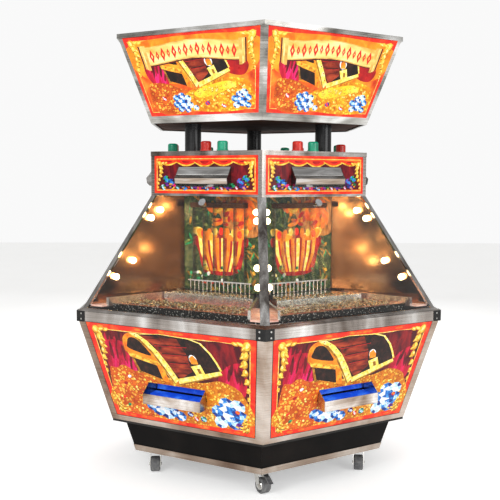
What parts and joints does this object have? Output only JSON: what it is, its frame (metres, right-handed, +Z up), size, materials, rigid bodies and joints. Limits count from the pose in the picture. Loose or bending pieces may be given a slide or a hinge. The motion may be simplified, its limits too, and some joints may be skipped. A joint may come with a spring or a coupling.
{
  "type": "coin pusher machine",
  "caption": "Six-sided amusement machine with sliding coin shelves behind leaning glass, payout trays, casters and a flared illuminated topper.",
  "frame": {"origin": "on the floor at the centre of the machine", "axes": "+Z up, one corner of the hexagon on -Y"},
  "size_m": [1.7398, 2.0052, 2.15],
  "materials": {
    "black_board": "black satin paint",
    "black_panel": "gloss black laminate",
    "steel_trim": "brushed",
    "zinc_steel": "bright zinc",
    "grey_rubber": "satin",
    "pedal_paint": "satin",
    "art_panel": "gloss printed laminate",
    "deck_metal": "brushed",
    "bracket_black": "satin",
    "frame_paint": "satin",
    "bed_laminate": "gloss laminate",
    "pusher_metal": "satin",
    "crank_steel": "machined",
    "motor_iron": "painted",
    "backboard_art": "printed",
    "clear_acrylic": "clear",
    "bronze_mirror": "bronze tint",
    "lamp_glass": "warm white, lit",
    "pane": "clear",
    "chute_steel": "brushed",
    "upper_art": "gloss printed laminate",
    "chrome": "polished",
    "red_lens": "translucent",
    "green_lens": "translucent",
    "pillar_black": "gloss",
    "topper_art": "gloss printed laminate",
    "topper_metal": "brushed",
    "dark_wood": "stained"
  },
  "bodies": {
    "cabinet": {"base_frame": "black_board", "plinth_skirt": "black_panel", "steel_trims": "steel_trim", "deck_rail": "deck_metal", "deck_brackets": "bracket_black", "inner_frame": "frame_paint", "playfield_beds": "bed_laminate", "backboards": "backboard_art", "coin_guides": "clear_acrylic", "mirror_partitions": "bronze_mirror", "lamps": "lamp_glass", "corner_posts": "steel_trim", "coin_chutes": "chute_steel", "upper_panels": "upper_art", "upper_frame": "deck_metal", "coin_cups": "chrome", "beacons_red": "red_lens", "beacons_green": "green_lens", "support_pillars": "pillar_black", "topper_panels": "topper_art", "topper_frame": "topper_metal", "topper_floor": "dark_wood", "gearmotors": "motor_iron"},
    "caster_fork_1": {"caster_fork_1": "zinc_steel"},
    "caster_wheel_1": {"caster_wheel_1": "grey_rubber"},
    "lower_door_1": {"lower_door_1": "art_panel"},
    "glass_door_1": {"glass_door_1": "pane"},
    "pusher_1": {"pusher_1": "pusher_metal"},
    "crank_1": {"crank_1": "crank_steel"},
    "caster_fork_2": {"caster_fork_2": "zinc_steel"},
    "caster_wheel_2": {"caster_wheel_2": "grey_rubber"},
    "lower_door_2": {"lower_door_2": "art_panel"},
    "glass_door_2": {"glass_door_2": "pane"},
    "pusher_2": {"pusher_2": "pusher_metal"},
    "crank_2": {"crank_2": "crank_steel"},
    "caster_fork_3": {"caster_fork_3": "zinc_steel"},
    "caster_wheel_3": {"caster_wheel_3": "grey_rubber"},
    "lower_door_3": {"lower_door_3": "art_panel"},
    "glass_door_3": {"glass_door_3": "pane"},
    "pusher_3": {"pusher_3": "pusher_metal"},
    "crank_3": {"crank_3": "crank_steel"},
    "caster_fork_4": {"caster_fork_4": "zinc_steel"},
    "caster_wheel_4": {"caster_wheel_4": "grey_rubber"},
    "lower_door_4": {"lower_door_4": "art_panel"},
    "glass_door_4": {"glass_door_4": "pane"},
    "pusher_4": {"pusher_4": "pusher_metal"},
    "crank_4": {"crank_4": "crank_steel"},
    "caster_fork_5": {"caster_fork_5": "zinc_steel"},
    "caster_wheel_5": {"caster_wheel_5": "grey_rubber"},
    "lower_door_5": {"lower_door_5": "art_panel"},
    "glass_door_5": {"glass_door_5": "pane"},
    "pusher_5": {"pusher_5": "pusher_metal"},
    "crank_5": {"crank_5": "crank_steel"},
    "caster_fork_6": {"caster_fork_6": "zinc_steel"},
    "caster_wheel_6": {"caster_wheel_6": "grey_rubber"},
    "lower_door_6": {"lower_door_6": "art_panel"},
    "glass_door_6": {"glass_door_6": "pane"},
    "pusher_6": {"pusher_6": "pusher_metal"},
    "crank_6": {"crank_6": "crank_steel"},
    "brake_pedal": {"brake_pedal": "pedal_paint"}
  },
  "joints": [
    {"name": "caster_swivel_1", "type": "hinge", "parent": "cabinet", "child": "caster_fork_1", "pos_m": [0, -0.596, 0.112], "axis": [0, 0, 1], "continuous": true},
    {"name": "wheel_spin_1", "type": "hinge", "parent": "caster_fork_1", "child": "caster_wheel_1", "pos_m": [0.013, -0.61852, 0.038], "axis": [-0.866, -0.5, 0], "continuous": true},
    {"name": "pusher_slide_1", "type": "slide", "parent": "cabinet", "child": "pusher_1", "axis": [0.5, -0.866, 0], "range_m": [-0.07, 0]},
    {"name": "crank_turn_1", "type": "hinge", "parent": "cabinet", "child": "crank_1", "pos_m": [0.15, -0.25981, 0.93], "axis": [0, 0, 1], "range_deg": [-180, 0]},
    {"name": "glass_hinge_1", "type": "hinge", "parent": "cabinet", "child": "glass_door_1", "pos_m": [0.419, -0.72573, 0.8625], "axis": [0.866, 0.5, 0], "range_deg": [0, 65]},
    {"name": "door_hinge_1", "type": "hinge", "parent": "cabinet", "child": "lower_door_1", "pos_m": [0.36266, -0.62814, 0.33], "axis": [0.866, 0.5, 0], "range_deg": [0, 70]},
    {"name": "caster_swivel_2", "type": "hinge", "parent": "cabinet", "child": "caster_fork_2", "pos_m": [0.51615, -0.298, 0.112], "axis": [0, 0, 1], "continuous": true},
    {"name": "wheel_spin_2", "type": "hinge", "parent": "caster_fork_2", "child": "caster_wheel_2", "pos_m": [0.51253, -0.32375, 0.038], "axis": [-0.9903, 0.1392, 0], "continuous": true},
    {"name": "pusher_slide_2", "type": "slide", "parent": "cabinet", "child": "pusher_2", "axis": [1, 0, 0], "range_m": [0, 0.07]},
    {"name": "crank_turn_2", "type": "hinge", "parent": "cabinet", "child": "crank_2", "pos_m": [0.3, 0, 0.93], "axis": [0, 0, 1], "range_deg": [0, 180]},
    {"name": "glass_hinge_2", "type": "hinge", "parent": "cabinet", "child": "glass_door_2", "pos_m": [0.838, 0, 0.8625], "axis": [0, 1, 0], "range_deg": [0, 65]},
    {"name": "door_hinge_2", "type": "hinge", "parent": "cabinet", "child": "lower_door_2", "pos_m": [0.72531, 0, 0.33], "axis": [0, 1, 0], "range_deg": [0, 70]},
    {"name": "caster_swivel_3", "type": "hinge", "parent": "cabinet", "child": "caster_fork_3", "pos_m": [0.51615, 0.298, 0.112], "axis": [0, 0, 1], "continuous": true},
    {"name": "wheel_spin_3", "type": "hinge", "parent": "caster_fork_3", "child": "caster_wheel_3", "pos_m": [0.49944, 0.27808, 0.038], "axis": [-0.766, 0.6428, 0], "continuous": true},
    {"name": "pusher_slide_3", "type": "slide", "parent": "cabinet", "child": "pusher_3", "axis": [0.5, 0.866, 0], "range_m": [-0.07, 0]},
    {"name": "crank_turn_3", "type": "hinge", "parent": "cabinet", "child": "crank_3", "pos_m": [0.15, 0.25981, 0.93], "axis": [0, 0, 1], "range_deg": [-180, 0]},
    {"name": "glass_hinge_3", "type": "hinge", "parent": "cabinet", "child": "glass_door_3", "pos_m": [0.419, 0.72573, 0.8625], "axis": [-0.866, 0.5, 0], "range_deg": [0, 65]},
    {"name": "door_hinge_3", "type": "hinge", "parent": "cabinet", "child": "lower_door_3", "pos_m": [0.36266, 0.62814, 0.33], "axis": [-0.866, 0.5, 0], "range_deg": [0, 70]},
    {"name": "caster_swivel_4", "type": "hinge", "parent": "cabinet", "child": "caster_fork_4", "pos_m": [0, 0.596, 0.112], "axis": [0, 0, 1], "continuous": true},
    {"name": "wheel_spin_4", "type": "hinge", "parent": "caster_fork_4", "child": "caster_wheel_4", "pos_m": [0.02511, 0.58927, 0.038], "axis": [-0.2588, -0.9659, 0], "continuous": true},
    {"name": "pusher_slide_4", "type": "slide", "parent": "cabinet", "child": "pusher_4", "axis": [-0.5, 0.866, 0], "range_m": [0, 0.07]},
    {"name": "crank_turn_4", "type": "hinge", "parent": "cabinet", "child": "crank_4", "pos_m": [-0.15, 0.25981, 0.93], "axis": [0, 0, 1], "range_deg": [0, 180]},
    {"name": "glass_hinge_4", "type": "hinge", "parent": "cabinet", "child": "glass_door_4", "pos_m": [-0.419, 0.72573, 0.8625], "axis": [-0.866, -0.5, 0], "range_deg": [0, 65]},
    {"name": "door_hinge_4", "type": "hinge", "parent": "cabinet", "child": "lower_door_4", "pos_m": [-0.36266, 0.62814, 0.33], "axis": [-0.866, -0.5, 0], "range_deg": [0, 70]},
    {"name": "caster_swivel_5", "type": "hinge", "parent": "cabinet", "child": "caster_fork_5", "pos_m": [-0.51615, 0.298, 0.112], "axis": [0, 0, 1], "continuous": true},
    {"name": "wheel_spin_5", "type": "hinge", "parent": "caster_fork_5", "child": "caster_wheel_5", "pos_m": [-0.54176, 0.30251, 0.038], "axis": [0.1736, 0.9848, 0], "continuous": true},
    {"name": "pusher_slide_5", "type": "slide", "parent": "cabinet", "child": "pusher_5", "axis": [-1, 0, 0], "range_m": [-0.07, 0]},
    {"name": "crank_turn_5", "type": "hinge", "parent": "cabinet", "child": "crank_5", "pos_m": [-0.3, 0, 0.93], "axis": [0, 0, 1], "range_deg": [-180, 0]},
    {"name": "glass_hinge_5", "type": "hinge", "parent": "cabinet", "child": "glass_door_5", "pos_m": [-0.838, 0, 0.8625], "axis": [0, -1, 0], "range_deg": [0, 65]},
    {"name": "door_hinge_5", "type": "hinge", "parent": "cabinet", "child": "lower_door_5", "pos_m": [-0.72531, 0, 0.33], "axis": [0, -1, 0], "range_deg": [0, 70]},
    {"name": "caster_swivel_6", "type": "hinge", "parent": "cabinet", "child": "caster_fork_6", "pos_m": [-0.51615, -0.298, 0.112], "axis": [0, 0, 1], "continuous": true},
    {"name": "wheel_spin_6", "type": "hinge", "parent": "caster_fork_6", "child": "caster_wheel_6", "pos_m": [-0.51615, -0.324, 0.038], "axis": [-1, 0, 0], "continuous": true},
    {"name": "pusher_slide_6", "type": "slide", "parent": "cabinet", "child": "pusher_6", "axis": [-0.5, -0.866, 0], "range_m": [0, 0.07]},
    {"name": "crank_turn_6", "type": "hinge", "parent": "cabinet", "child": "crank_6", "pos_m": [-0.15, -0.25981, 0.93], "axis": [0, 0, 1], "range_deg": [0, 180]},
    {"name": "glass_hinge_6", "type": "hinge", "parent": "cabinet", "child": "glass_door_6", "pos_m": [-0.419, -0.72573, 0.8625], "axis": [0.866, -0.5, 0], "range_deg": [0, 65]},
    {"name": "door_hinge_6", "type": "hinge", "parent": "cabinet", "child": "lower_door_6", "pos_m": [-0.36266, -0.62814, 0.33], "axis": [0.866, -0.5, 0], "range_deg": [0, 70]},
    {"name": "brake_press", "type": "hinge", "parent": "caster_fork_1", "child": "brake_pedal", "pos_m": [0.023, -0.63584, 0.09], "axis": [0.866, 0.5, 0], "range_deg": [0, 14]}
  ],
  "couplings": [
    {"joint": "crank_turn_1", "follows": "pusher_slide_1", "rad_per_m": 44.87},
    {"joint": "crank_turn_2", "follows": "pusher_slide_2", "rad_per_m": 44.87},
    {"joint": "crank_turn_3", "follows": "pusher_slide_3", "rad_per_m": 44.87},
    {"joint": "crank_turn_4", "follows": "pusher_slide_4", "rad_per_m": 44.87},
    {"joint": "crank_turn_5", "follows": "pusher_slide_5", "rad_per_m": 44.87},
    {"joint": "crank_turn_6", "follows": "pusher_slide_6", "rad_per_m": 44.87}
  ]
}
